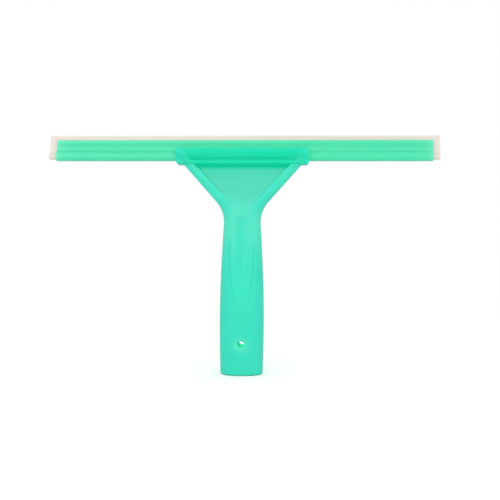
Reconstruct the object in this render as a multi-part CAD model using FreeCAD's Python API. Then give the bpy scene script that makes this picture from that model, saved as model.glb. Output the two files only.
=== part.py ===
import FreeCAD, Part
import math
import os

# Window squeegee, in millimetres.
# Frame: the origin is the centre of the handle's open end, where a pole would enter.
# +Z runs up the handle to the blade, +X runs along the blade, and the thumb side faces -Y.
# One moulded handle ends in two jaws, the jaws hold an extruded channel, and the channel holds
# the rubber blade.

# ---- blade -------------------------------------------------------------------------------
BLADE_LENGTH = 300.0
BLADE_HEIGHT = 18.6
BLADE_WEB = 2.0              # thickness of the lip and of the web that runs down into the channel
BEAD_RADIUS = 2.5            # round foot of the rubber, which keeps it in the channel
WIPING_EDGE = 0.15           # bevel on the two wiping edges
CUT_SLANT = 1.4              # the left end is out of square by this much over its height

# ---- channel, heights measured from its underside ----------------------------------------
CHANNEL_LENGTH = 289.0
CHANNEL_HEIGHT = 15.6
BLADE_GAP = 0.15             # room all round the rubber
BEAD_CENTRE = 3.3            # height of the chamber's axis
CHAMBER_WALL = 1.6           # side wall round the chamber
LIP_HALF = 2.9               # half thickness of the rounded upper lip
LIP_DEPTH = 2.8              # how far that lip reaches down
WAIST_HALF = 2.5             # half thickness of the hollow band under the lip
RIDGE_HALF = 3.1             # half thickness of the ridge over the snap groove
RIDGE_TOP = 8.9
RIDGE_FOOT = 8.1
GROOVE_HALF = 2.6            # half thickness in the snap groove
GROOVE_TOP = 7.4
GROOVE_FOOT = 6.4
CORNER = 0.6                 # rounding of the lip's upper corners

# ---- handle ------------------------------------------------------------------------------
SEAT_Z = 163.0               # level of the channel's underside in the head
JAW_GAP = 0.15               # room between the channel and the jaws
HEAD_LENGTH = 102.0
JAW_HEIGHT = 9.8             # how far the jaws reach up from the channel's underside
JAW_TOP_HALF = 5.3           # half depth of the head at the jaws' tips
JAW_BELLY_HALF = 8.2         # half depth at the belly of the jaws
JAW_CREASE_HALF = 6.6        # half depth in the crease over the head's lower bead
HEAD_BEAD_HALF = 7.4         # half depth of that bead
HEAD_SOLE_HALF = 5.2         # half depth of the head's underside
HEAD_FLOOR = 3.2             # the head's underside lies this far below the channel
HOOK_HALF = 2.8              # half width between the two snap hooks

NECK_Z = 116.2               # narrowest place
NECK_HALF_WIDTH = 14.15
NECK_HALF_DEPTH = 10.4
FAN_ANGLE = math.radians(41.5)   # each side of the fan leans out by this much
FAN_ARC = 23.0               # radius that turns the neck into the fan's straight side
FAN_TOP_Z = 161.8
FAN_TOP_HALF_DEPTH = 7.0
GRIP_Z = 40.0                # widest place of the grip
GRIP_HALF_WIDTH = 16.95
GRIP_HALF_DEPTH = 13.9
END_NARROWING = 0.8          # the open end is narrower than the grip's widest place, each side
END_ROUNDING = 1.5

RIB_WIDTH = 5.7              # raised border along each side of the fan
PANEL_TOP_Z = 157.8
PANEL_FOOT_Z = 123.2
PANEL_HALF_DEPTH = 3.4       # half thickness of the web at the top of the panel
PANEL_WALL = 3.0             # the panel's upper wall slopes out over this height

SOCKET_RADIUS = 11.2         # takes a 22 mm pole
SOCKET_DEPTH = 70.0
CORE_RADIUS = 9.4            # the hollow steps in to this at the stop for the pole
CORE_END_RADIUS = 5.5        # and tapers to this at its end
CORE_END_Z = 109.0
HANG_HOLE_RADIUS = 2.5
HANG_HOLE_Z = 23.4

SECTION_POINTS = 32          # points on each cross-section of the handle
OVERCUT = 5.0                # how far a cutting solid runs past the surface it cuts


def vec(x, y, z):
    return FreeCAD.Vector(x, y, z)


def line(a, b):
    return Part.LineSegment(a, b).toShape()


def arc(a, middle, b):
    return Part.Arc(a, middle, b).toShape()


def mirrored(edges):
    """The same edges on the other side of the middle plane."""
    return [edge.mirror(vec(0, 0, 0), vec(0, 1, 0)) for edge in edges]


def along_x(edges, length):
    """A solid of the given length along X, centred, from a closed outline at x = 0."""
    face = Part.Face(Part.Wire(Part.__sortEdges__(edges)))
    solid = face.extrude(vec(length, 0, 0))
    solid.translate(vec(-length / 2, 0, 0))
    return solid


def polyline(points):
    return [line(a, b) for a, b in zip(points, points[1:])]


def on_circle(radius, height, centre):
    """Half width of a circle about (0, centre) at the given height."""
    return math.sqrt(radius ** 2 - (height - centre) ** 2)


def left_end_cutter(end_x, foot_z, height):
    """Removes the wedge outside a left end that leans in by CUT_SLANT over its height."""
    reach = 20.0
    lean = CUT_SLANT / height
    foot = vec(end_x - OVERCUT * lean, 0, foot_z - OVERCUT)
    top = vec(end_x + (height + OVERCUT) * lean, 0, foot_z + height + OVERCUT)
    outside_top = vec(end_x - reach, 0, top.z)
    outside_foot = vec(end_x - reach, 0, foot.z)
    face = Part.Face(Part.makePolygon([foot, top, outside_top, outside_foot, foot]))
    wedge = face.extrude(vec(0, 2 * reach, 0))
    wedge.translate(vec(0, -reach, 0))
    return wedge


# ---- blade -------------------------------------------------------------------------------
def make_blade():
    """A flat web with two crisp wiping edges on top and a round bead at its foot."""
    half = BLADE_WEB / 2
    centre = SEAT_Z + BEAD_CENTRE
    top = centre - BEAD_RADIUS + BLADE_HEIGHT
    join = centre + math.sqrt(BEAD_RADIUS ** 2 - half ** 2)
    side = polyline([
        vec(0, 0, top),
        vec(0, half - WIPING_EDGE, top),
        vec(0, half, top - WIPING_EDGE),
        vec(0, half, join),
    ])
    side.append(arc(vec(0, half, join), vec(0, BEAD_RADIUS, centre), vec(0, 0, centre - BEAD_RADIUS)))
    strip = along_x(side + mirrored(side), BLADE_LENGTH)
    return strip.cut(left_end_cutter(-BLADE_LENGTH / 2, centre - BEAD_RADIUS, BLADE_HEIGHT))


# ---- channel -----------------------------------------------------------------------------
def channel_half():
    """One half of the channel's outline: the slot and chamber inside, the snap groove outside."""
    slot = BLADE_WEB / 2 + BLADE_GAP
    chamber = BEAD_RADIUS + BLADE_GAP
    bulge = chamber + CHAMBER_WALL
    top = CHANNEL_HEIGHT
    shoulder = on_circle(bulge, GROOVE_FOOT, BEAD_CENTRE)
    sole = on_circle(bulge, 0, BEAD_CENTRE)
    chamber_mouth = BEAD_CENTRE + math.sqrt(chamber ** 2 - slot ** 2)
    turn = CORNER * (1 - math.sqrt(0.5))

    def at(y, z):
        return vec(0, y, SEAT_Z + z)

    inside = [
        arc(at(0, BEAD_CENTRE - chamber), at(chamber, BEAD_CENTRE), at(slot, chamber_mouth)),
        line(at(slot, chamber_mouth), at(slot, top)),
        line(at(slot, top), at(LIP_HALF - CORNER, top)),
    ]
    lip = [arc(at(LIP_HALF - CORNER, top), at(LIP_HALF - turn, top - turn), at(LIP_HALF, top - CORNER))]
    outside = polyline([
        at(LIP_HALF, top - CORNER),
        at(LIP_HALF, top - LIP_DEPTH),
        at(WAIST_HALF, top - LIP_DEPTH - 0.8),
        at(WAIST_HALF, RIDGE_TOP + 0.6),
        at(RIDGE_HALF, RIDGE_TOP),
        at(RIDGE_HALF, RIDGE_FOOT),
        at(GROOVE_HALF, GROOVE_TOP),
        at(GROOVE_HALF, GROOVE_FOOT),
        at(shoulder, GROOVE_FOOT),
    ])
    belly = [
        arc(at(shoulder, GROOVE_FOOT), at(bulge, BEAD_CENTRE), at(sole, 0)),
        line(at(sole, 0), at(0, 0)),
    ]
    return inside, lip + outside + belly


def make_channel():
    """An extrusion with one outline: jaws that grip the web, over a round chamber for the bead."""
    inside, outside = channel_half()
    edges = inside + outside + mirrored(inside) + mirrored(outside)
    profile = along_x(edges, CHANNEL_LENGTH)
    return profile.cut(left_end_cutter(-CHANNEL_LENGTH / 2, SEAT_Z, CHANNEL_HEIGHT))


# ---- handle ------------------------------------------------------------------------------
def half_width(z):
    """Half width of the handle at height z."""
    if z < GRIP_Z:
        return GRIP_HALF_WIDTH - END_NARROWING * ((GRIP_Z - z) / GRIP_Z) ** 2
    if z < NECK_Z:
        swell = math.sin(math.pi / 2 * (NECK_Z - z) / (NECK_Z - GRIP_Z))
        return NECK_HALF_WIDTH + (GRIP_HALF_WIDTH - NECK_HALF_WIDTH) * swell
    arc_end = FAN_ARC * math.sin(FAN_ANGLE)
    rise = z - NECK_Z
    if rise < arc_end:
        return NECK_HALF_WIDTH + FAN_ARC - math.sqrt(FAN_ARC ** 2 - rise ** 2)
    arc_width = FAN_ARC * (1 - math.cos(FAN_ANGLE))
    return NECK_HALF_WIDTH + arc_width + (rise - arc_end) * math.tan(FAN_ANGLE)


def half_depth(z):
    """Half depth of the handle at height z: full in the palm, thin at the head."""
    if z < GRIP_Z:
        return GRIP_HALF_DEPTH - END_NARROWING / 2 * ((GRIP_Z - z) / GRIP_Z) ** 2
    if z < NECK_Z:
        swell = math.sin(math.pi / 2 * (NECK_Z - z) / (NECK_Z - GRIP_Z))
        return NECK_HALF_DEPTH + (GRIP_HALF_DEPTH - NECK_HALF_DEPTH) * swell
    share = (z - NECK_Z) / (FAN_TOP_Z - NECK_Z)
    return NECK_HALF_DEPTH + (FAN_TOP_HALF_DEPTH - NECK_HALF_DEPTH) * share


def squareness(z):
    """Exponent of the cross-section: near an ellipse in the grip, a rounded slab in the fan."""
    if z < NECK_Z:
        return 2.3
    return 2.3 + 2.7 * min(1.0, (z - NECK_Z) / (PANEL_TOP_Z - NECK_Z))


def section(z):
    """Closed smooth cross-section of the handle at height z."""
    points = []
    power = 2 / squareness(z)
    for step in range(SECTION_POINTS):
        turn = 2 * math.pi * (step + 0.5) / SECTION_POINTS
        x = half_width(z) * math.copysign(abs(math.cos(turn)) ** power, math.cos(turn))
        y = half_depth(z) * math.copysign(abs(math.sin(turn)) ** power, math.sin(turn))
        points.append(vec(x, y, z))
    curve = Part.BSplineCurve()
    curve.interpolate(Points=points, PeriodicFlag=True)
    return Part.Wire(curve.toShape())


def make_stem():
    """Grip, neck and fan as one smooth body."""
    grip_levels = [0, 13, 26, GRIP_Z, 54, 68, 82, 96, 107]
    fan_levels = [NECK_Z, 122, 127, 132, 139, 147, 155, FAN_TOP_Z]
    return Part.makeLoft([section(z) for z in grip_levels + fan_levels], True)


def make_head():
    """Solid bar across the top of the fan, before the channel's seat is cut into it."""
    def at(y, z):
        return vec(0, y, SEAT_Z + z)

    side = [
        line(at(0, JAW_HEIGHT), at(JAW_TOP_HALF - CORNER, JAW_HEIGHT)),
        line(at(JAW_TOP_HALF - CORNER, JAW_HEIGHT), at(JAW_TOP_HALF, JAW_HEIGHT - CORNER)),
        arc(at(JAW_TOP_HALF, JAW_HEIGHT - CORNER), at(JAW_BELLY_HALF, 5.4), at(JAW_CREASE_HALF, 1.2)),
        arc(at(JAW_CREASE_HALF, 1.2), at(HEAD_BEAD_HALF, -0.8), at(HEAD_SOLE_HALF, -HEAD_FLOOR)),
        line(at(HEAD_SOLE_HALF, -HEAD_FLOOR), at(0, -HEAD_FLOOR)),
    ]
    return along_x(side + mirrored(side), HEAD_LENGTH)


def make_seat():
    """The space that the jaws leave for the channel, open at the top and at both ends."""
    bulge = BEAD_RADIUS + BLADE_GAP + CHAMBER_WALL + JAW_GAP
    hook_foot = GROOVE_FOOT + JAW_GAP
    hook_top = GROOVE_TOP - JAW_GAP
    mouth = RIDGE_HALF + JAW_GAP
    shoulder = on_circle(bulge, hook_foot, BEAD_CENTRE)
    sole = on_circle(bulge, -JAW_GAP, BEAD_CENTRE)

    def at(y, z):
        return vec(0, y, SEAT_Z + z)

    side = polyline([
        at(0, JAW_HEIGHT + OVERCUT),
        at(mouth, JAW_HEIGHT + OVERCUT),
        at(mouth, RIDGE_FOOT - JAW_GAP),
        at(HOOK_HALF, hook_top),
        at(HOOK_HALF, hook_foot),
        at(shoulder, hook_foot),
    ])
    side.append(arc(at(shoulder, hook_foot), at(bulge, BEAD_CENTRE), at(sole, -JAW_GAP)))
    side.append(line(at(sole, -JAW_GAP), at(0, -JAW_GAP)))
    return along_x(side + mirrored(side), HEAD_LENGTH + 2 * OVERCUT)


def make_panel_pocket():
    """The sunk panel on the thumb side, between the two ribs, ramping out to meet the neck."""
    rib_across = RIB_WIDTH / math.cos(FAN_ANGLE)
    wall_top_z = PANEL_TOP_Z + PANEL_WALL
    outside = half_depth(0) + 2 * OVERCUT
    ramp_out = half_depth(PANEL_FOOT_Z)
    wall_out = half_depth(wall_top_z) + 1.0
    outline = Part.makePolygon([
        vec(0, -PANEL_HALF_DEPTH, PANEL_TOP_Z),
        vec(0, -wall_out, wall_top_z),
        vec(0, -outside, wall_top_z),
        vec(0, -outside, PANEL_FOOT_Z),
        vec(0, -ramp_out, PANEL_FOOT_Z),
        vec(0, -PANEL_HALF_DEPTH, PANEL_TOP_Z),
    ])
    ramp = Part.Face(outline).extrude(vec(HEAD_LENGTH, 0, 0))
    ramp.translate(vec(-HEAD_LENGTH / 2, 0, 0))
    top_half = half_width(wall_top_z) - rib_across
    mid_z = NECK_Z + FAN_ARC * math.sin(FAN_ANGLE)
    mid_half = half_width(mid_z) - rib_across
    foot_half = half_width(PANEL_FOOT_Z) - rib_across
    front = Part.makePolygon([
        vec(-top_half, -outside, wall_top_z),
        vec(-mid_half, -outside, mid_z),
        vec(-foot_half, -outside, PANEL_FOOT_Z),
        vec(foot_half, -outside, PANEL_FOOT_Z),
        vec(mid_half, -outside, mid_z),
        vec(top_half, -outside, wall_top_z),
        vec(-top_half, -outside, wall_top_z),
    ])
    return ramp.common(Part.Face(front).extrude(vec(0, outside, 0)))


def make_core():
    """The hollow of the handle: a round socket up to the pole's stop, then a taper to the neck."""
    socket = Part.makeCylinder(SOCKET_RADIUS, SOCKET_DEPTH)
    taper_length = CORE_END_Z - SOCKET_DEPTH
    taper = Part.makeCone(CORE_RADIUS, CORE_END_RADIUS, taper_length, vec(0, 0, SOCKET_DEPTH))
    return socket.fuse(taper)


def make_handle():
    """One moulding: hollow grip, neck, fan with a sunk panel on both faces, and the jaws."""
    pocket = make_panel_pocket()
    back_pocket = pocket.mirror(vec(0, 0, 0), vec(0, 1, 0))
    depth = 2 * GRIP_HALF_DEPTH + 2 * OVERCUT
    hang_hole = Part.makeCylinder(HANG_HOLE_RADIUS, depth, vec(0, -depth / 2, HANG_HOLE_Z), vec(0, 1, 0))
    stem = make_stem().cut(pocket).cut(back_pocket)
    body = stem.fuse(make_head()).cut(make_seat()).cut(make_core()).cut(hang_hole)
    bottom = [edge for edge in body.Edges if edge.BoundBox.ZMax < 0.001]
    outer_rim = max(bottom, key=lambda edge: edge.Length)
    return body.makeFillet(END_ROUNDING, [outer_rim])


def main():
    os.makedirs("parts", exist_ok=True)
    pieces = {"handle": make_handle(), "channel": make_channel(), "blade": make_blade()}
    for name, shape in pieces.items():
        solid = shape.removeSplitter()
        print(name, len(solid.Solids), solid.isValid(), round(solid.Volume), solid.BoundBox)
        solid.exportStep("parts/" + name + ".step")


main()
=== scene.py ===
import math

import bmesh
import bpy
import numpy as np
from mathutils import Matrix, Vector


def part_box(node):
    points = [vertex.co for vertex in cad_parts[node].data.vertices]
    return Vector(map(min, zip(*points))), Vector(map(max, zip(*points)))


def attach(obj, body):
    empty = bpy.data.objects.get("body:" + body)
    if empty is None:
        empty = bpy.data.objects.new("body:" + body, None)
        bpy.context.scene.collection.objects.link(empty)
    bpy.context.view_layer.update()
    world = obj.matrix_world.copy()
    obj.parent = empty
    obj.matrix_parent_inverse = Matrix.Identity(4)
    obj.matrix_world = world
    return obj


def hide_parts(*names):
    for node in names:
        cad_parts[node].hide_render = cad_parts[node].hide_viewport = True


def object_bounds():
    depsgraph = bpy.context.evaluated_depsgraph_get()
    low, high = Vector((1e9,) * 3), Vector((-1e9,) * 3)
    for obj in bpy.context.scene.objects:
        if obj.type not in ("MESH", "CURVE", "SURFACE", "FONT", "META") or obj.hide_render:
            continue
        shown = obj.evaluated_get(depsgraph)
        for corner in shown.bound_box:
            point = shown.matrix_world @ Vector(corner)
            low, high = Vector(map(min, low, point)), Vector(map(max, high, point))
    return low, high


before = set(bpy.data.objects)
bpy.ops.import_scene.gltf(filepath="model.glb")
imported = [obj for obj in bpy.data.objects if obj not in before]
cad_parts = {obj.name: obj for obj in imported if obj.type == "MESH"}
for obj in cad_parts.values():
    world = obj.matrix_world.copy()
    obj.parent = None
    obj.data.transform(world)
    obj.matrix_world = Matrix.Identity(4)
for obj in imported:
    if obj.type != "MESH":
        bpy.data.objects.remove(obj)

CAD_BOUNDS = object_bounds()

# A window squeegee: a moulded mint handle, an extruded mint channel and a pale translucent blade.
# Meshes are worked out in millimetres and written in metres. +Z runs up the handle to the blade,
# +X along the blade, and the thumb side faces -Y.
MM = 0.001


def corners_mm(node):
    """The lowest and highest corner of a CAD node."""
    low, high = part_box(node)
    return low / MM, high / MM


HANDLE_HIGH = corners_mm("handle")[1]
CHANNEL_LOW, CHANNEL_HIGH = corners_mm("channel")
BLADE_LOW, BLADE_HIGH = corners_mm("blade")

# ---- sizes in millimetres ----------------------------------------------------------------
SEAT_Z = CHANNEL_LOW.z           # the channel's underside

NECK_Z = SEAT_Z - 46.8
NECK_HALF_WIDTH = 14.15
NECK_HALF_DEPTH = 10.4
FAN_ANGLE = math.radians(41.5)
FAN_ARC = 23.0
FAN_ARC_RISE = FAN_ARC * math.sin(FAN_ANGLE)
FAN_TOP_Z = SEAT_Z - 0.6         # the fan ends inside the solid part of the head
FAN_TOP_HALF_DEPTH = 7.0
GRIP_Z = 40.0
GRIP_HALF_WIDTH = 16.95
GRIP_HALF_DEPTH = HANDLE_HIGH.y
END_NARROWING = 0.8
END_ROUNDING = 1.5

RIB_ACROSS = 5.7 / math.cos(FAN_ANGLE)   # width of the raised border, measured along X
RIB_WALL = 2.8                   # the border's inner wall slopes over this width
PANEL_TOP_Z = SEAT_Z - 5.2
PANEL_WALL = 3.1
PANEL_FOOT_Z = SEAT_Z - 41.2
PANEL_FOOT_STEP = 0.14           # the panel ends above the neck in a step this deep
PANEL_HALF_DEPTH = 3.5
PANEL_LIP_HALF_DEPTH = 6.4
LEDGE_HALF = 16.5                # half length of the shallow ledge at the top of the panel
LEDGE_RISE = 0.3

LEAF_TIP_Z = 43.5                # the leaf-shaped hollow for the thumb
LEAF_WIDEST_Z = 93.5
LEAF_TOP_Z = 105.0
LEAF_HALF_WIDTH = 10.1
LEAF_SINK = 0.5
LEAF_GROOVE = 0.6                # depth of the fine groove along the leaf's edge
VALLEY_SINK = 1.0                # the valley runs up the middle of the leaf
VALLEY_SPREAD = 4.2
THUMB_RIDGES = ((22.6, 5.2), (18.9, 4.2), (15.5, 4.8))   # height above the neck, half length
RIDGE_HEIGHT = 0.45
RIDGE_SPREAD = 0.75
RIDGE_DIP = 0.6                  # the middle of each ridge hangs this far below its ends

# Heights in the head, channel and blade are measured from the seat, unless their name ends in _Z.
JAW_TIP = HANDLE_HIGH.z - SEAT_Z
JAW_TIP_HALF_DEPTH = 4.9
BELLY_RISE = 5.6                 # the jaws are deepest here
SOLE_DROP = 3.2                  # the head's underside lies this far below the seat
SOLE_CURVE = 0.008               # keeps the sole's points out of line, as the booleans need
SEAT_SHOULDER = 6.55             # top of the round part of the space between the jaws
HEAD_HALF = HANDLE_HIGH.x
HEAD_MIDDLE = 4.0                # the head's skin draws in towards this height at its ends
HEAD_HALF_HEIGHT = 6.6
HEAD_HALF_DEPTH = 8.2
LUG_CHAMFER = 1.8
LUG_ROUNDING = 0.15
LUG_STATIONS = [33 + 0.5 * step for step in range(33)] + [49.2 + 0.2 * step for step in range(9)]

SOCKET_RADIUS = 11.2
SOCKET_DEPTH = 70.0
CORE_RADIUS = 9.4
CORE_END_RADIUS = 5.5
CORE_END_Z = 109.0
HANG_HOLE_RADIUS = 2.5
HANG_HOLE_Z = 23.4
DISH_RADIUS = 7.2
DISH_SINK = 0.9
HOLE_ROUNDING = 0.35

BEAD_CENTRE = 3.3
BEAD_RADIUS = BLADE_HIGH.y
BLADE_WEB_HALF = 1.0
BLADE_GAP = 0.15                 # between the rubber and the channel
CHANNEL_WALL = 1.6
JAW_GAP = 0.15                   # between the channel and the jaws
SLOT_CHAMFER = 0.2
CUT_ROUNDING = 0.1               # the fine rounding on the cut ends of the channel and blade
CUT_SLANT = 1.4                  # how far the left ends are out of square over their height
SLANT_FULL = 2.0                 # the slant is full over this length, then dies out over the next
SLANT_FADE = 25.0

SIDE_COLUMN = 2.6                # the first mesh columns cover this much of the round side
COLUMNS = (8, 16, 9, 26)         # mesh columns in each quarter: side, rib, rib wall, middle


# ---- small helpers -----------------------------------------------------------------------
def smooth(value):
    """Smoothstep of a value clamped to 0..1."""
    t = min(1.0, max(0.0, value))
    return t * t * (3 - 2 * t)


def link(obj):
    bpy.context.scene.collection.objects.link(obj)
    return obj


def mesh_object(name, points, faces):
    """A linked object from points in millimetres."""
    mesh = bpy.data.meshes.new(name)
    mesh.from_pydata([(x * MM, y * MM, z * MM) for x, y, z in points], [], faces)
    mesh.validate()
    return link(bpy.data.objects.new(name, mesh))


def face_outward(obj):
    work = bmesh.new()
    work.from_mesh(obj.data)
    bmesh.ops.recalc_face_normals(work, faces=work.faces)
    work.to_mesh(obj.data)
    work.free()


def combine(obj, tool, operation):
    """Boolean of obj with tool, applied; tool is removed."""
    change = obj.modifiers.new("cut", "BOOLEAN")
    change.operation = operation
    change.solver = "EXACT"
    change.object = tool
    graph = bpy.context.evaluated_depsgraph_get()
    result = bpy.data.meshes.new_from_object(obj.evaluated_get(graph))
    obj.modifiers.clear()
    obj.data = result
    bpy.data.objects.remove(tool)


def shade(obj, sharp_degrees):
    """Smooth shading with the edges steeper than the angle kept sharp."""
    work = bmesh.new()
    work.from_mesh(obj.data)
    bmesh.ops.dissolve_degenerate(work, dist=1e-7, edges=work.edges)
    for face in work.faces:
        face.smooth = True
    limit = math.radians(sharp_degrees)
    for edge in work.edges:
        if len(edge.link_faces) == 2:
            edge.smooth = edge.calc_face_angle(0) < limit
    work.to_mesh(obj.data)
    work.free()


def set_attribute(obj, name, rule):
    """A value from 0 to 1 on each point, from rule(place in millimetres, normal)."""
    layer = obj.data.attributes.new(name, "FLOAT", "POINT")
    values = [rule(vertex.co / MM, vertex.normal) for vertex in obj.data.vertices]
    layer.data.foreach_set("value", np.array(values, np.float32))


def arc_points(start, middle, end, count):
    """Points on the circle through three points, from start to end, both included."""
    (ax, ay), (bx, by), (cx, cy) = start, middle, end
    d = 2 * (ax * (by - cy) + bx * (cy - ay) + cx * (ay - by))
    a2, b2, c2 = ax * ax + ay * ay, bx * bx + by * by, cx * cx + cy * cy
    ox = (a2 * (by - cy) + b2 * (cy - ay) + c2 * (ay - by)) / d
    oy = (a2 * (cx - bx) + b2 * (ax - cx) + c2 * (bx - ax)) / d
    radius = math.hypot(ax - ox, ay - oy)
    first = math.atan2(ay - oy, ax - ox)
    half = (math.atan2(by - oy, bx - ox) - first) % (2 * math.pi)
    whole = (math.atan2(cy - oy, cx - ox) - first) % (2 * math.pi)
    if half > whole:
        whole -= 2 * math.pi
    turns = [first + whole * step / (count - 1) for step in range(count)]
    return [(ox + radius * math.cos(t), oy + radius * math.sin(t)) for t in turns]


def both_sides(half):
    """A closed outline from its +Y half, which starts and ends near the middle plane."""
    return half + [(-y, z) for y, z in reversed(half) if y > 1e-6]


def inset(outline, distance):
    """The closed outline moved inward by a small distance."""
    area = sum(a[0] * b[1] - b[0] * a[1] for a, b in zip(outline, outline[1:] + outline[:1]))
    side = math.copysign(distance, area)
    moved = []
    for index, (y, z) in enumerate(outline):
        before, after = outline[index - 1], outline[(index + 1) % len(outline)]
        run = Vector((after[0] - before[0], after[1] - before[1])).normalized()
        moved.append((y - run.y * side, z + run.x * side))
    return moved


def quarter_turn(steps):
    """Angles from 0 to a right angle, both included."""
    return [math.pi / 2 * step / steps for step in range(steps + 1)]


def circle_reach(radius, offset):
    """Half the chord of a circle at a distance from its centre."""
    return math.sqrt(radius ** 2 - offset ** 2)


def stack(name, rings):
    """A closed solid from rings of equally many points, with a flat face at each end."""
    count, last = len(rings[0]), len(rings) - 1
    points = [point for ring in rings for point in ring]
    faces = [tuple(range(count))]
    for row in range(last):
        for column in range(count):
            a = row * count + column
            b = row * count + (column + 1) % count
            faces.append((a, b, b + count, a + count))
    faces.append(tuple(range(last * count, (last + 1) * count)))
    obj = mesh_object(name, points, faces)
    face_outward(obj)
    return obj


def sweep(name, outline_at, stations):
    """A solid along X: outline_at(x) gives the closed (y, z) outline at each station."""
    return stack(name, [[(x, y, z) for y, z in outline_at(x)] for x in stations])


def rounded_stations(half_length, rounding, inner):
    """Stations from end to end, bunched on the rounding of each end, with the inner ones."""
    edge = [half_length - rounding + rounding * math.cos(t) for t in quarter_turn(4)]
    return [-x for x in edge] + inner + edge[::-1]


def end_inset(x, half_length, rounding):
    """How far the outline draws in at x, so that the end's edges are round."""
    reach = abs(x) - (half_length - rounding)
    if reach <= 0:
        return 0.0
    return rounding - math.sqrt(max(0.0, rounding ** 2 - reach ** 2))


def extrude(name, outline, half_length, inner):
    """A straight length along X with finely rounded ends; inner lists the stations between."""
    def outline_at(x):
        return inset(outline, end_inset(x, half_length, CUT_ROUNDING))

    return sweep(name, outline_at, rounded_stations(half_length, CUT_ROUNDING, inner))


# ---- handle: outer shape -----------------------------------------------------------------
def half_width(z):
    """Half width of the grip, the neck and the opening fan."""
    if z < GRIP_Z:
        return GRIP_HALF_WIDTH - END_NARROWING * ((GRIP_Z - z) / GRIP_Z) ** 2
    if z < NECK_Z:
        swell = math.sin(math.pi / 2 * (NECK_Z - z) / (NECK_Z - GRIP_Z))
        return NECK_HALF_WIDTH + (GRIP_HALF_WIDTH - NECK_HALF_WIDTH) * swell
    rise = z - NECK_Z
    if rise < FAN_ARC_RISE:
        return NECK_HALF_WIDTH + FAN_ARC - math.sqrt(FAN_ARC ** 2 - rise ** 2)
    arc_width = FAN_ARC * (1 - math.cos(FAN_ANGLE))
    return NECK_HALF_WIDTH + arc_width + (rise - FAN_ARC_RISE) * math.tan(FAN_ANGLE)


def half_depth(z):
    """Half depth before the panel, the leaf and the dish are sunk into it."""
    if z < GRIP_Z:
        return GRIP_HALF_DEPTH - END_NARROWING / 2 * ((GRIP_Z - z) / GRIP_Z) ** 2
    if z < NECK_Z:
        swell = math.sin(math.pi / 2 * (NECK_Z - z) / (NECK_Z - GRIP_Z))
        return NECK_HALF_DEPTH + (GRIP_HALF_DEPTH - NECK_HALF_DEPTH) * swell
    share = min(1.0, (z - NECK_Z) / (PANEL_TOP_Z - NECK_Z))
    return NECK_HALF_DEPTH + (FAN_TOP_HALF_DEPTH - NECK_HALF_DEPTH) * share


def squareness(z):
    """Exponent of the cross-section: near an ellipse in the grip, a rounded slab in the fan."""
    return 2.3 + 2.7 * smooth((z - NECK_Z + 6) / (PANEL_TOP_Z - NECK_Z))


def quarter_section(z, inset_by):
    """Points (x, y) from the side to the middle, with columns that follow the rib's edges."""
    a, b, n = half_width(z) - inset_by, half_depth(z) - inset_by, squareness(z)
    angle = np.linspace(0, math.pi / 2, 400)
    c, s = np.cos(angle), np.sin(angle)
    reach = (c ** n + s ** n) ** (-1 / n)
    x, y = a * reach * c, b * reach * s
    length = np.concatenate([[0], np.cumsum(np.hypot(np.diff(x), np.diff(y)))])
    edges = [a, a - SIDE_COLUMN, a - RIB_ACROSS, a - RIB_ACROSS - RIB_WALL, 0]
    knots = np.interp([-e for e in edges], -x, length)
    spots = [0.0]
    for start, end, count in zip(knots, knots[1:], COLUMNS):
        spots += list(np.linspace(start, end, count + 1)[1:])
    return list(zip(np.interp(spots, length, x), np.interp(spots, length, y)))


def leaf_half_width(z):
    """Half width of the leaf-shaped hollow for the thumb: widest near its top, a tip below."""
    if z <= LEAF_TIP_Z or z >= LEAF_TOP_Z:
        return 0.0
    if z > LEAF_WIDEST_Z:
        above = (z - LEAF_WIDEST_Z) / (LEAF_TOP_Z - LEAF_WIDEST_Z)
        return LEAF_HALF_WIDTH * math.sqrt(1 - above ** 3.5)
    below = (LEAF_WIDEST_Z - z) / (LEAF_WIDEST_Z - LEAF_TIP_Z)
    return LEAF_HALF_WIDTH * (1 - below ** 1.8) ** 0.6


def leaf_fade(z):
    """The leaf's hollow and groove die out towards its tip and its top."""
    return smooth((z - 46) / 22) * (1 - smooth((z - 95) / 9))


def leaf_line(x, z):
    """1 on the fine groove along the leaf's edge, 0 a millimetre away from it."""
    return math.exp(-(((leaf_half_width(z) - 0.3 - abs(x)) / 0.6) ** 2))


def thumb_ridge(x, z):
    """Height of the three small smile-shaped ridges on the panel."""
    height = 0.0
    for rise, half in THUMB_RIDGES:
        line = NECK_Z + rise - RIDGE_DIP + RIDGE_DIP * (x / half) ** 2
        across = math.exp(-(((z - line) / RIDGE_SPREAD) ** 2))
        height += RIDGE_HEIGHT * across * smooth(1.6 * (1 - abs(x) / half))
    return height


def panel_recess(z):
    """How far the panel is sunk: a small step above the neck, then a ramp in to the head."""
    climb = (z - PANEL_FOOT_Z) / (PANEL_TOP_Z - PANEL_FOOT_Z)
    deepest = FAN_TOP_HALF_DEPTH - PANEL_HALF_DEPTH
    step = PANEL_FOOT_STEP * smooth((z - PANEL_FOOT_Z + 0.5) / 1.1)
    ramp = (deepest - PANEL_FOOT_STEP) * min(1.0, max(0.0, climb)) ** 1.15
    wall = (PANEL_LIP_HALF_DEPTH - PANEL_HALF_DEPTH) * smooth((z - PANEL_TOP_Z) / PANEL_WALL)
    return step + ramp - wall


def panel_share(x, z):
    """1 on the sunk panel, 0 on the ribs, with the rib's wall between."""
    inner = half_width(z) - RIB_ACROSS
    return smooth((inner - abs(x)) / RIB_WALL)


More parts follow.
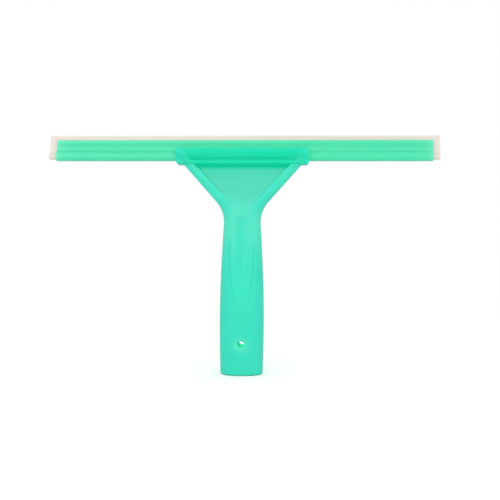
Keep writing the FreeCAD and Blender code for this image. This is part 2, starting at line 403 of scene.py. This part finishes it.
def skin(x, y, z, front):
    """Half depth of the finished surface over (x, z), from the plain section's y."""
    depth = y
    if z > PANEL_FOOT_Z - 1:
        share = panel_share(x, z)
        ledge = smooth((LEDGE_HALF - abs(x)) / 1.2) * smooth((z - PANEL_TOP_Z + 1.9) / 0.5)
        depth -= (panel_recess(z) - LEDGE_RISE * ledge) * share
        if front:
            depth += thumb_ridge(x, z)
    hole_distance = math.hypot(x, z - HANG_HOLE_Z)
    depth -= DISH_SINK * (1 - smooth(hole_distance / DISH_RADIUS))
    if front:
        valley = smooth((z - 50) / 40) * (1 - smooth((z - NECK_Z + 3) / 9))
        depth -= VALLEY_SINK * valley * math.exp(-((x / VALLEY_SPREAD) ** 2))
        leaf = leaf_half_width(z)
        if leaf > 0:
            fade = leaf_fade(z)
            depth -= LEAF_SINK * fade * smooth((leaf - abs(x)) / 1.2)
            depth -= LEAF_GROOVE * fade * leaf_line(x, z)
    return depth


def skin_ring(z, inset_by):
    """One closed ring of points round the handle at height z."""
    quarter = quarter_section(z, inset_by)
    back = [(x, skin(x, y, z, False)) for x, y in quarter]
    front = [(x, skin(x, y, z, True)) for x, y in quarter]
    ring = back + [(-x, y) for x, y in back[-2::-1]]
    ring += [(-x, -y) for x, y in front[1:]] + [(x, -y) for x, y in front[-2:0:-1]]
    return [(x, y, z) for x, y in ring]


def round_ring(radius, z, like):
    """A circular ring with one point for each point of another ring, in the same direction."""
    turns = [math.atan2(y / GRIP_HALF_DEPTH, x / GRIP_HALF_WIDTH) for x, y, _ in like]
    return [(radius * math.cos(t), radius * math.sin(t), z) for t in turns]


def skin_levels():
    """Heights of the rings, closer together where the shape changes fast."""
    leaf_end, foot, thumb, ledge = 104, PANEL_FOOT_Z - 1.0, NECK_Z + 12, 155.5
    levels = list(np.arange(END_ROUNDING, leaf_end, 0.8)) + list(np.arange(leaf_end, foot, 1.0))
    levels += list(np.arange(foot, foot + 2.2, 0.25)) + list(np.arange(foot + 2.2, thumb, 0.8))
    levels += list(np.arange(thumb, thumb + 12, 0.3)) + list(np.arange(thumb + 12, ledge, 1.0))
    levels += list(np.arange(ledge, PANEL_TOP_Z, 0.25))
    levels += list(np.linspace(PANEL_TOP_Z, PANEL_TOP_Z + PANEL_WALL, 9))
    return levels + [SEAT_Z - 1.0, FAN_TOP_Z]


def make_stem():
    """Grip, neck and fan, from the core's inner end down to the mouth and up the outside."""
    hollow = [(CORE_END_RADIUS, CORE_END_Z), (CORE_RADIUS - 0.5, SOCKET_DEPTH + 4),
              (CORE_RADIUS, SOCKET_DEPTH), (SOCKET_RADIUS, SOCKET_DEPTH),
              (SOCKET_RADIUS, SOCKET_DEPTH / 2), (SOCKET_RADIUS, 0.5),
              (SOCKET_RADIUS + 0.15, 0.15), (SOCKET_RADIUS + 0.5, 0.0)]
    rim = skin_ring(END_ROUNDING, 0.0)
    rings = [round_ring(radius, z, rim) for radius, z in hollow]
    for turn in quarter_turn(6)[:-1]:
        drawn_in = END_ROUNDING * (1 - math.sin(turn))
        rings.append(skin_ring(END_ROUNDING * (1 - math.cos(turn)), drawn_in))
    rings += [skin_ring(z, 0.0) for z in skin_levels()]
    return stack("stem", rings)


# ---- handle: head ------------------------------------------------------------------------
def head_outline(x):
    """The head's outer skin at x: rounded jaws over a bead that stops at the two ribs."""
    tip, cheek = (JAW_TIP_HALF_DEPTH, JAW_TIP), (6.45, JAW_TIP - 1.1)
    half = [tip] + arc_points(tip, (5.85, JAW_TIP - 0.35), cheek, 7)[1:]
    half += arc_points(cheek, (8.35, 5.7), (6.6, 0.9), 20)[1:]
    half += arc_points((6.6, 0.9), (6.52, 0.5), (6.75, 0.1), 4)[1:]
    half += arc_points((6.75, 0.1), (7.25, -1.3), (6.4, -2.7), 9)[1:]
    half += arc_points((6.4, -2.7), (5.8, -3.1), (5.1, -SOLE_DROP), 6)[1:]
    half += [(2.3, -SOLE_DROP), (0.0, -SOLE_DROP)]
    shaped = []
    for y, z in half:
        if z < BELLY_RISE and y > 5.0:
            share = max(0.0, (z + SOLE_DROP) / (BELLY_RISE + SOLE_DROP))
            beyond = abs(x) - half_width(SEAT_Z + z) + RIB_ACROSS
            lug_y = 7.15 + 1.25 * share ** 1.5 - 0.55 * smooth((beyond - 2.0) / 4)
            lug_y -= 1.3 * smooth((0.18 - share) / 0.18)
            y += (lug_y - y) * smooth((beyond + 1.2) / 2.4)
        shaped.append((y, SEAT_Z + z))
    return both_sides(shaped)


def lug_reach(x):
    """0 up to the chamfer at each end of the head, 1 at the end itself."""
    return max(0.0, (abs(x) - HEAD_HALF + LUG_CHAMFER) / LUG_CHAMFER)


def head_shrink(x):
    """How far the head's skin draws in at x: the chamfer at its ends and their small rounding."""
    return 0.8 * lug_reach(x) ** 1.2 + end_inset(x, HEAD_HALF, LUG_ROUNDING)


def head_skin(x):
    """The outer skin drawn in at the head's two ends, most at their lower corners."""
    middle, shrink = SEAT_Z + HEAD_MIDDLE, head_shrink(x)
    lowest = SEAT_Z - SOLE_DROP + 2.5 * lug_reach(x) ** 1.5
    skin_points = []
    for y, z in head_outline(x):
        y *= 1 - shrink / HEAD_HALF_DEPTH
        z = middle + (z - middle) * (1 - shrink / HEAD_HALF_HEIGHT)
        skin_points.append((y, max(z, lowest + SOLE_CURVE * y * y)))
    return skin_points


def seat_outline(x):
    """The space between the jaws at x, from tip to tip; it flares a little at the ends."""
    bulge = BEAD_RADIUS + BLADE_GAP + CHANNEL_WALL + JAW_GAP
    tip = JAW_TIP - head_shrink(x) * (JAW_TIP - HEAD_MIDDLE) / HEAD_HALF_HEIGHT
    shoulder = (circle_reach(bulge, SEAT_SHOULDER - BEAD_CENTRE), SEAT_SHOULDER)
    sole = (circle_reach(bulge, -JAW_GAP - BEAD_CENTRE), -JAW_GAP)
    half = [(3.9, tip - 0.02), (3.35, tip - 0.5), (3.25, tip - 0.9), (3.25, 7.95)]
    half += [(2.8, 7.25), (2.8, SEAT_SHOULDER), shoulder]
    half += arc_points(shoulder, (bulge, BEAD_CENTRE), sole, 22)[1:]
    half.append((0.0, -JAW_GAP - 0.03))
    flare = 0.25 * smooth((abs(x) - HEAD_HALF + 0.6) / 0.6)
    return both_sides([(y + flare * min(1.0, y), SEAT_Z + z) for y, z in half])


def make_head():
    """Both jaws and the bead below them, with the space for the channel left open."""
    inner = [-x for x in LUG_STATIONS[::-1]] + list(range(-30, 31, 6)) + LUG_STATIONS

    def outline_at(x):
        return head_skin(x) + seat_outline(x)[::-1]

    return sweep("head", outline_at, rounded_stations(HEAD_HALF, LUG_ROUNDING, inner))


def make_hole_tool():
    """A round bar through the grip, opening out where it meets the two dished faces."""
    face_y = half_depth(HANG_HOLE_Z) - DISH_SINK
    widest = HANG_HOLE_RADIUS + HOLE_ROUNDING + 1.2
    profile = [(HANG_HOLE_RADIUS, 0.0)]
    for turn in quarter_turn(4):
        radius = HANG_HOLE_RADIUS + HOLE_ROUNDING * (1 - math.cos(turn))
        profile.append((radius, face_y - HOLE_ROUNDING * (1 - math.sin(turn))))
    profile += [(widest, face_y + 0.45), (widest, face_y + 4.0)]
    spans = [(r, -y) for r, y in profile[::-1]] + profile[1:]
    sides = 72
    turns = [2 * math.pi * side / sides for side in range(sides)]

    def ring(radius, y):
        return [(radius * math.cos(t), y, HANG_HOLE_Z + radius * math.sin(t)) for t in turns]

    return stack("hole_tool", [ring(radius, y) for radius, y in spans])


def between_ribs(x, z):
    """1 on the sunk panel, 0 on the ribs beside it."""
    return smooth((half_width(z) - RIB_ACROSS - RIB_WALL * 0.3 - abs(x)) / 2.4)


def matte_share(place, normal):
    """Where the handle has the fine matt texture: the two sunk panels."""
    x, y, z = place
    if z < PANEL_FOOT_Z or z > PANEL_TOP_Z + 1.0:
        return 0.0
    return smooth((z - PANEL_FOOT_Z - 0.3) / 20) * between_ribs(x, z)


def deep_tint_and_shade_share(place, normal):
    """Deeper colour where light has a long way through the plastic, with painted shade: the bottom
    rim, the sides that turn away, the leaf's groove, the undercut below the jaws and the panel
    under the head; a painted highlight runs unevenly along the bead.
    """
    x, y, z = place
    rise = z - SEAT_Z
    # Painted shade: a dark line along the bottom rim and on the sides that turn away from the
    # front.
    rim = smooth((1.3 - z) / 1.0)
    side = 0.45 * smooth((abs(normal.x) - 0.72) / 0.25)
    if rise < -20:
        line = 0.0
        if y < 0 and leaf_half_width(z) > 0:
            # Painted shade in the fine groove along the leaf's edge.
            line = 0.42 * leaf_line(x, z) * leaf_fade(z)
        return max(rim, side, line)
    inside = smooth((half_width(z) - RIB_ACROSS + 1.5 - abs(x)) / 5)
    # Deeper colour over the channel, carried down under the bead as painted shade.
    over = smooth((rise + 4.0 + 3.4 * inside) / 1.8)
    # The jaws are left paler towards their tips: painted light from above.
    jaw = 1 - 0.30 * smooth((rise - 5.0) / 4.5)
    # Painted highlight: an uneven paler band along the bead.
    uneven = 0.12 + 0.05 * math.sin(0.55 * x + 2.0 * math.sin(0.17 * x))
    bead = inside * uneven * math.exp(-(((rise + 1.2) / 1.1) ** 2))
    # Painted shade: a faint darkening of the panel under the head.
    tail = 0.16 * inside * smooth((rise + 19) / 12)
    return max(side, tail, (over - bead) * jaw * (0.55 + 0.45 * inside))


def painted_light_share(place, normal):
    """Painted light: paler where light would come through the plastic round the hole and over the
    fan, with painted highlights on the neck beside its valley.
    """
    x, y, z = place
    hole_distance = math.hypot(x, z - HANG_HOLE_Z)
    # Painted light round the hang hole.
    round_hole = 0.95 * math.exp(-((hole_distance / 6.6) ** 4))
    # The valley stays darker between the painted highlights on the neck.
    valley = 0.75 * math.exp(-((x / 4.0) ** 2)) * (1 - smooth((z - NECK_Z) / 6))
    fan = smooth((z - 80) / 30) * (1 - smooth((z - SEAT_Z + 8) / 5)) * (1 - valley)
    fan *= 1 - 0.7 * smooth((z - NECK_Z - 2) / 12) * (1 - between_ribs(x, z))
    return max(round_hole, fan)


def painted_inner_glow_share(place, normal):
    """Painted glow on the walls inside the grip, the hang hole and the jaws, standing in for light
    through the plastic.
    """
    x, y, z = place
    reach = SOCKET_RADIUS if z < SOCKET_DEPTH + 0.1 else CORE_RADIUS
    hollow = 0.5 < z < CORE_END_Z + 1 and math.hypot(x, y) < reach + 0.1
    hole = math.hypot(x, z - HANG_HOLE_Z) < HANG_HOLE_RADIUS + 0.1
    seat = SEAT_Z - 0.5 < z < SEAT_Z + JAW_TIP - 1 and abs(y) < JAW_TIP_HALF_DEPTH
    return 1.0 if hole else 0.5 if hollow or seat else 0.0


def make_handle():
    handle = make_stem()
    combine(handle, make_head(), "UNION")
    combine(handle, make_hole_tool(), "DIFFERENCE")
    handle.name = "moulded_handle"
    shade(handle, 34)
    # Masks: the matt panels; deeper colour with painted shade; painted light where the plastic is
    # thin; painted glow on the inner walls.
    for name, rule in (("matte", matte_share), ("deep_tint_and_shade", deep_tint_and_shade_share), ("thin", painted_light_share),
                       ("inner", painted_inner_glow_share)):
        set_attribute(handle, name, rule)
    return handle


# ---- channel and blade -------------------------------------------------------------------
def lean_left(obj, low, high):
    """Cuts the left end a little off square: its top stands further in than its foot."""
    for vertex in obj.data.vertices:
        share = 1 - smooth((vertex.co.x / MM - low.x - SLANT_FULL) / SLANT_FADE)
        height = (vertex.co.z / MM - low.z) / (high.z - low.z)
        vertex.co.x += CUT_SLANT * height * share * MM


def channel_outline():
    """The extrusion's outline: grooved jaws over a round chamber, slotted for the rubber."""
    top = CHANNEL_HIGH.z - SEAT_Z
    slot, chamber = BLADE_WEB_HALF + BLADE_GAP, BEAD_RADIUS + BLADE_GAP
    bulge, shoulder_rise, sole_rise = CHANNEL_HIGH.y, 6.25, 0.25
    mouth = BEAD_CENTRE + circle_reach(chamber, slot)
    shoulder = circle_reach(bulge, shoulder_rise - BEAD_CENTRE)
    sole = circle_reach(bulge, sole_rise - BEAD_CENTRE)
    outside = [(slot + SLOT_CHAMFER, top), (2.0, top)]
    outside += arc_points((2.0, top), (2.65, top - 0.3), (2.9, top - 0.95), 6)[1:]
    outside += arc_points((2.9, top - 0.95), (2.93, top - 1.8), (2.82, top - 2.7), 5)[1:]
    outside += arc_points((2.82, top - 2.7), (2.45, top - 4.4), (2.6, top - 5.8), 8)[1:]
    outside += arc_points((2.6, top - 5.8), (3.02, top - 6.25), (3.1, top - 6.6), 4)[1:]
    outside += [(3.1, 8.1), (2.95, 7.8), (2.62, 7.35), (2.6, 7.15), (2.6, 6.5), (2.68, 6.35)]
    outside += arc_points((shoulder, shoulder_rise), (bulge, BEAD_CENTRE), (sole, sole_rise), 22)
    outside += [(sole - 0.2, 0.06), (sole - 0.55, 0.0), (0.0, 0.0)]
    inside = arc_points((0.0, BEAD_CENTRE - chamber), (chamber, BEAD_CENTRE), (slot, mouth), 22)
    inside.append((slot, top - SLOT_CHAMFER))
    right = [(y, SEAT_Z + z) for y, z in outside]
    hollow = [(y, SEAT_Z + z) for y, z in inside]
    left = [(-y, z) for y, z in right[-2::-1]]
    return right + left + [(-y, z) for y, z in hollow[::-1]] + hollow[1:]


def make_channel():
    """Extruded channel; its mesh is finer near the cut ends, where light is painted into the
    colour.
    """
    half, glow_length = CHANNEL_HIGH.x, 3.2
    near_end = [0.4, 0.8, 1.4, 2.2, 3.2, 4.5, 6, 8, 11, 15, 20, 28]
    inner = [-half + gap for gap in near_end] + list(range(-110, 111, 10))
    inner += [half - gap for gap in near_end[::-1]]

    def painted_end_glow(place, normal):
        return math.exp(-(half - abs(place.x)) / glow_length)

    channel = extrude("extruded_channel", channel_outline(), half, inner)
    set_attribute(channel, "painted_end_glow", painted_end_glow)
    lean_left(channel, CHANNEL_LOW, CHANNEL_HIGH)
    shade(channel, 38)
    return channel


def blade_outline():
    """The strip's outline: a thin lip over a round bead, with a small fillet between."""
    top = BLADE_HIGH.z - SEAT_Z
    join = BEAD_CENTRE + circle_reach(BEAD_RADIUS, BLADE_WEB_HALF)
    half = [(0.0, top), (0.45, top), (BLADE_WEB_HALF - 0.1, top)]
    half += [(BLADE_WEB_HALF - 0.02, top - 0.04), (BLADE_WEB_HALF, top - 0.14)]
    half += [(BLADE_WEB_HALF, top - step) for step in (1.5, 3.0, 4.5, 7.0, 10.0)]
    half += [(BLADE_WEB_HALF, join + 0.7), (BLADE_WEB_HALF + 0.08, join + 0.25)]
    neck_half = BLADE_WEB_HALF + 0.32
    neck = (neck_half, BEAD_CENTRE + circle_reach(BEAD_RADIUS, neck_half))
    foot = (0.0, BEAD_CENTRE - BEAD_RADIUS)
    half += arc_points(neck, (BEAD_RADIUS, BEAD_CENTRE), foot, 24)
    return both_sides([(y, SEAT_Z + z) for y, z in half])


def make_blade():
    """Rubber strip: a thin lip with crisp wiping edges, and a round bead at its foot."""
    half = BLADE_HIGH.x
    inner = [-half + 1, -half + 3] + list(range(-140, 141, 10)) + [half - 3, half - 1]
    blade = extrude("rubber_blade", blade_outline(), half, inner)
    lean_left(blade, BLADE_LOW, BLADE_HIGH)
    shade(blade, 38)
    return blade


# ---- materials ---------------------------------------------------------------------------
def new_material(name):
    material = bpy.data.materials.new(name)
    material.use_nodes = True
    nodes = material.node_tree.nodes
    return material, nodes, material.node_tree.links, nodes["Principled BSDF"]


def object_noise(nodes, links, scale, stretch=(1, 1, 1), detail=2.0):
    """Noise fixed to the object, so that it moves with the piece. Scale is per metre."""
    place = nodes.new("ShaderNodeTexCoord")
    mapping = nodes.new("ShaderNodeMapping")
    mapping.inputs["Scale"].default_value = stretch
    noise = nodes.new("ShaderNodeTexNoise")
    noise.inputs["Scale"].default_value = scale
    noise.inputs["Detail"].default_value = detail
    links.new(place.outputs["Object"], mapping.inputs["Vector"])
    links.new(mapping.outputs["Vector"], noise.inputs["Vector"])
    return noise.outputs["Fac"]


def attribute(nodes, name):
    node = nodes.new("ShaderNodeAttribute")
    node.attribute_name = name
    return node.outputs["Fac"]


def ramp(nodes, links, value, low, high):
    """Maps 0..1 to low..high."""
    node = nodes.new("ShaderNodeMapRange")
    node.inputs["To Min"].default_value = low
    node.inputs["To Max"].default_value = high
    links.new(value, node.inputs["Value"])
    return node.outputs["Result"]


def mix_colour(nodes, links, share, first, second):
    node = nodes.new("ShaderNodeMix")
    node.data_type = "RGBA"
    links.new(share, node.inputs["Factor"])
    for socket, colour in ((node.inputs["A"], first), (node.inputs["B"], second)):
        if isinstance(colour, tuple):
            socket.default_value = (*colour, 1)
        else:
            links.new(colour, socket)
    return node.outputs["Result"]


def mix_value(nodes, links, share, first, second):
    node = nodes.new("ShaderNodeMix")
    links.new(share, node.inputs["Factor"])
    for socket, value in ((node.inputs["A"], first), (node.inputs["B"], second)):
        if isinstance(value, (int, float)):
            socket.default_value = value
        else:
            links.new(value, socket)
    return node.outputs["Result"]


def add_bump(nodes, links, shader, height, distance):
    bump = nodes.new("ShaderNodeBump")
    bump.inputs["Strength"].default_value = 1.0
    bump.inputs["Distance"].default_value = distance
    links.new(height, bump.inputs["Height"])
    links.new(bump.outputs["Normal"], shader.inputs["Normal"])


def translucent(shader, weight, radius, scale, ior, specular):
    """Light goes into the plastic and comes out nearby; radius is its reach per colour."""
    shader.inputs["Subsurface Weight"].default_value = weight
    shader.inputs["Subsurface Radius"].default_value = radius
    shader.inputs["Subsurface Scale"].default_value = scale
    shader.inputs["IOR"].default_value = ior
    shader.inputs["Specular IOR Level"].default_value = specular


def handle_material():
    """Pearly translucent polypropylene, glossier on the ribs and grip, matt on the panels."""
    material, nodes, links, shader = new_material("mint_polypropylene")
    cloud = ramp(nodes, links, object_noise(nodes, links, 55.0, detail=3.0), -0.35, 1.35)
    base = mix_colour(nodes, links, cloud, (0.046, 0.735, 0.550), (0.057, 0.765, 0.585))
    # Painted light: paler colour where light would come through thin plastic, and painted
    # highlights on the neck.
    neck = mix_colour(nodes, links, attribute(nodes, "thin"), base, (0.104, 0.780, 0.590))
    panel = mix_colour(nodes, links, attribute(nodes, "matte"), neck, (0.098, 0.705, 0.525))
    # Deeper colour where the plastic is thick, mixed with painted shade in the undercuts, on the
    # rim and sides and in the leaf's groove, and a painted highlight along the bead.
    full = mix_colour(nodes, links, attribute(nodes, "deep_tint_and_shade"), panel, (0.002, 0.700, 0.430))
    links.new(full, shader.inputs["Base Color"])
    # Painted glow: emission on the inner walls stands in for light through the plastic.
    glow = ramp(nodes, links, attribute(nodes, "inner"), 0.0, 0.6)
    links.new(glow, shader.inputs["Emission Strength"])
    shader.inputs["Emission Color"].default_value = (0.075, 0.72, 0.50, 1)
    peel = object_noise(nodes, links, 420.0, detail=1.0)
    grain = object_noise(nodes, links, 2600.0, detail=2.0)
    smooth_part = ramp(nodes, links, peel, 0.27, 0.37)
    matte_part = ramp(nodes, links, grain, 0.52, 0.66)
    matte = attribute(nodes, "matte")
    links.new(mix_value(nodes, links, matte, smooth_part, matte_part), shader.inputs["Roughness"])
    relief = mix_value(nodes, links, matte, ramp(nodes, links, peel, 0, 0.5), grain)
    add_bump(nodes, links, shader, relief, 0.00006)
    translucent(shader, 0.9, (0.2, 1.0, 0.7), scale=0.004, ior=1.49, specular=0.2)
    return material


def channel_material():
    """Translucent extruded plastic: faint lines along its length, painted light at the cut ends."""
    material, nodes, links, shader = new_material("mint_extrusion")
    lines = object_noise(nodes, links, 900.0, stretch=(0.012, 1, 1), detail=3.0)
    base = mix_colour(nodes, links, lines, (0.070, 0.770, 0.430), (0.105, 0.830, 0.490))
    # Painted light: paler colour near the cut ends, where light would come through.
    glow = mix_colour(nodes, links, attribute(nodes, "painted_end_glow"), base, (0.200, 0.880, 0.560))
    links.new(glow, shader.inputs["Base Color"])
    links.new(ramp(nodes, links, lines, 0.24, 0.40), shader.inputs["Roughness"])
    add_bump(nodes, links, shader, lines, 0.00008)
    translucent(shader, 0.8, (0.3, 1.0, 0.7), scale=0.003, ior=1.49, specular=0.3)
    return material


def blade_material():
    """Pale translucent rubber with faint lines from its die and a soft sheen."""
    material, nodes, links, shader = new_material("pale_rubber")
    lines = object_noise(nodes, links, 700.0, stretch=(0.02, 1, 1), detail=2.0)
    base = mix_colour(nodes, links, lines, (0.740, 0.670, 0.615), (0.790, 0.725, 0.675))
    links.new(base, shader.inputs["Base Color"])
    links.new(ramp(nodes, links, lines, 0.32, 0.46), shader.inputs["Roughness"])
    add_bump(nodes, links, shader, lines, 0.00004)
    translucent(shader, 0.6, (1.0, 0.95, 0.8), scale=0.004, ior=1.43, specular=0.5)
    return material


def floor_material():
    """White to the camera; to the tool it is a little darker, so less light comes from below."""
    material, nodes, links, shader = new_material("pale_floor")
    tone = object_noise(nodes, links, 3.0)
    seen = nodes.new("ShaderNodeLightPath").outputs["Is Camera Ray"]
    pale = mix_colour(nodes, links, tone, (0.90, 0.90, 0.90), (0.93, 0.93, 0.93))
    links.new(mix_colour(nodes, links, seen, (0.78, 0.78, 0.78), pale), shader.inputs["Base Color"])
    shader.inputs["Roughness"].default_value = 0.9
    shader.inputs["Specular IOR Level"].default_value = 0.0
    shader.inputs["Emission Color"].default_value = (1, 1, 1, 1)
    links.new(ramp(nodes, links, seen, 0.0, 0.22), shader.inputs["Emission Strength"])
    return material


# ---- stage, light and camera -------------------------------------------------------------
def make_stage():
    """A wide pale floor just under the handle's open end."""
    size, level = 60.0, CAD_BOUNDS[0][2] - 0.0001
    signs = ((-1, -1), (1, -1), (1, 1), (-1, 1))
    mesh = bpy.data.meshes.new("floor")
    mesh.from_pydata([(x * size, y * size, level) for x, y in signs], [], [(0, 1, 2, 3)])
    floor = link(bpy.data.objects.new("floor", mesh))
    floor.data.materials.append(floor_material())


def area_light(name, place, target, size, power):
    """A square lamp that faces its target."""
    data = bpy.data.lights.new(name, "AREA")
    data.size = size
    data.energy = power
    light = link(bpy.data.objects.new(name, data))
    light.location = place
    light.rotation_euler = (Vector(target) - Vector(place)).to_track_quat("-Z", "Y").to_euler()


def make_light():
    """White surroundings, a little dimmer to the tool than to the camera, and two soft lamps."""
    world = bpy.data.worlds.new("studio")
    world.use_nodes = True
    nodes, links = world.node_tree.nodes, world.node_tree.links
    seen = nodes.new("ShaderNodeLightPath").outputs["Is Camera Ray"]
    links.new(ramp(nodes, links, seen, 0.86, 1.0), nodes["Background"].inputs["Strength"])
    nodes["Background"].inputs["Color"].default_value = (1, 1, 1, 1)
    bpy.context.scene.world = world
    centre = (0, 0, 0.12)
    area_light("key", (-0.35, -0.90, 0.38), centre, size=0.40, power=1.7)
    area_light("fill", (0.55, -0.75, 0.30), centre, size=0.40, power=1.1)


def make_camera():
    """A long view from the front, a little from the right, level with the middle of the grip."""
    distance, azimuth, roll = 0.580, math.radians(2.6), math.radians(-0.3)
    aim_height, aim_right = 0.0947, 0.0060
    back = Vector((math.sin(azimuth), -math.cos(azimuth), 0))
    right = Vector((math.cos(azimuth), math.sin(azimuth), 0))
    data = bpy.data.cameras.new("camera")
    data.sensor_width = 36.0
    data.lens = 54.4
    camera = link(bpy.data.objects.new("camera", data))
    place = back * distance + right * aim_right + Vector((0, 0, aim_height))
    turn = Matrix((right, Vector((0, 0, 1)), back)).transposed().to_4x4()
    camera.matrix_world = Matrix.Translation(place) @ turn @ Matrix.Rotation(-roll, 4, "Z")
    bpy.context.scene.camera = camera


def place_piece(obj, body, material):
    obj.data.materials.clear()
    obj.data.materials.append(material)
    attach(obj, body)
    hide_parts(body)


place_piece(make_handle(), "handle", handle_material())
place_piece(make_channel(), "channel", channel_material())
place_piece(make_blade(), "blade", blade_material())
make_stage()
make_light()
make_camera()
bpy.context.scene.view_settings.view_transform = "Standard"
